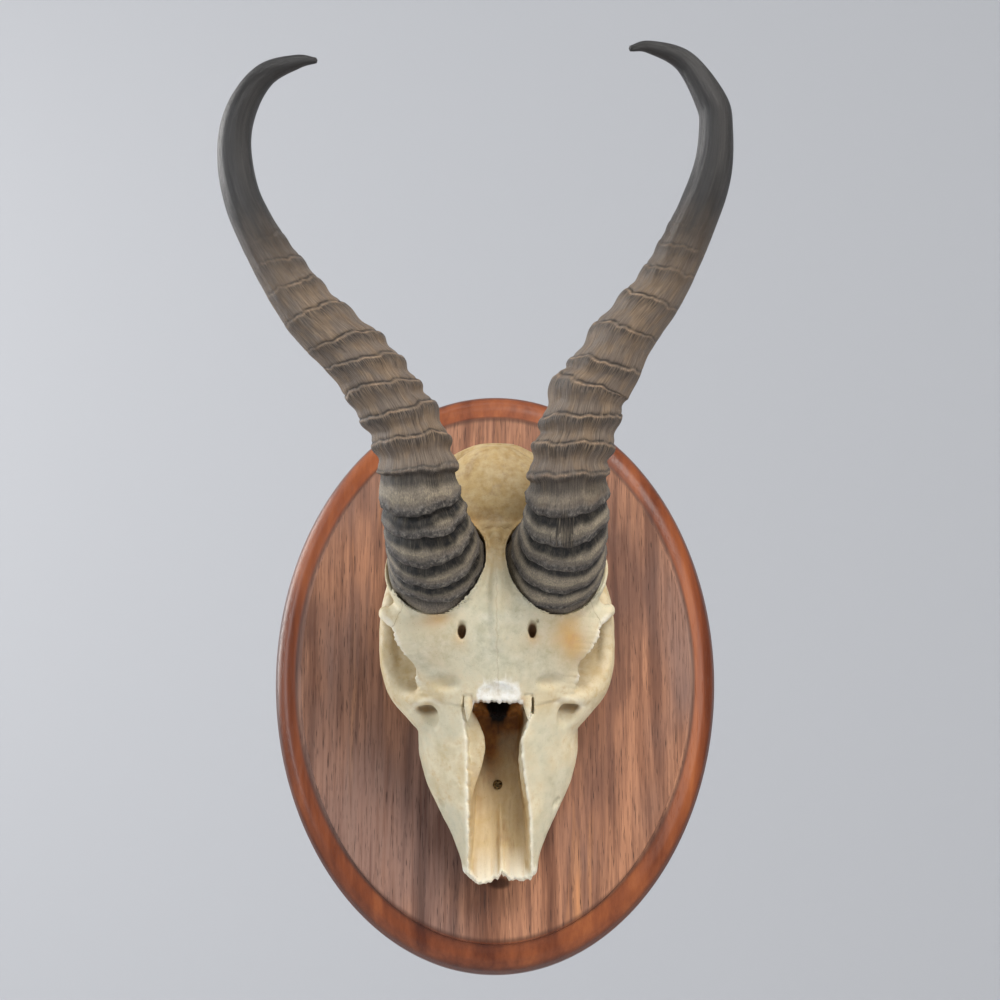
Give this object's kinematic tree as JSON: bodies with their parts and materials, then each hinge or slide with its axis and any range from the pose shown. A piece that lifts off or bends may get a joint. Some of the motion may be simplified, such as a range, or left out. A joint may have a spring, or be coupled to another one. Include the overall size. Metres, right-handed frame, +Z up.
{
  "type": "mounted springbok skull",
  "caption": "Springbok ram's upper skull with ringed, inward-hooked horns, hung nose down on an oval moulded wooden plaque.",
  "frame": {"origin": "centre of the plaque's flat back face", "axes": "+Z up the wall, towards the horn tips; +Y into the wall, square to the plaque's back; +X to the right of someone facing the plaque"},
  "size_m": [0.2505, 0.2057, 0.429],
  "materials": {
    "walnut": "satin varnished walnut, glossier on the moulded edge",
    "bone": "dry cleaned bone, matt, ivory with tan stains",
    "horn": "fibrous grey-brown horn, near-black and smoother towards the tips",
    "enamel": "ivory tooth enamel, slightly glossy",
    "screw_steel": "dark brass-toned screw head"
  },
  "bodies": {
    "root": {"plaque": "walnut", "skull": "bone", "horn_left": "horn", "horn_right": "horn", "palate_screw": "screw_steel", "premolar_2_left": "enamel", "premolar_3_left": "enamel", "premolar_4_left": "enamel", "molar_1_left": "enamel", "molar_2_left": "enamel", "molar_3_left": "enamel", "premolar_2_right": "enamel", "premolar_3_right": "enamel", "premolar_4_right": "enamel", "molar_1_right": "enamel", "molar_2_right": "enamel", "molar_3_right": "enamel"}
  },
  "joints": []
}
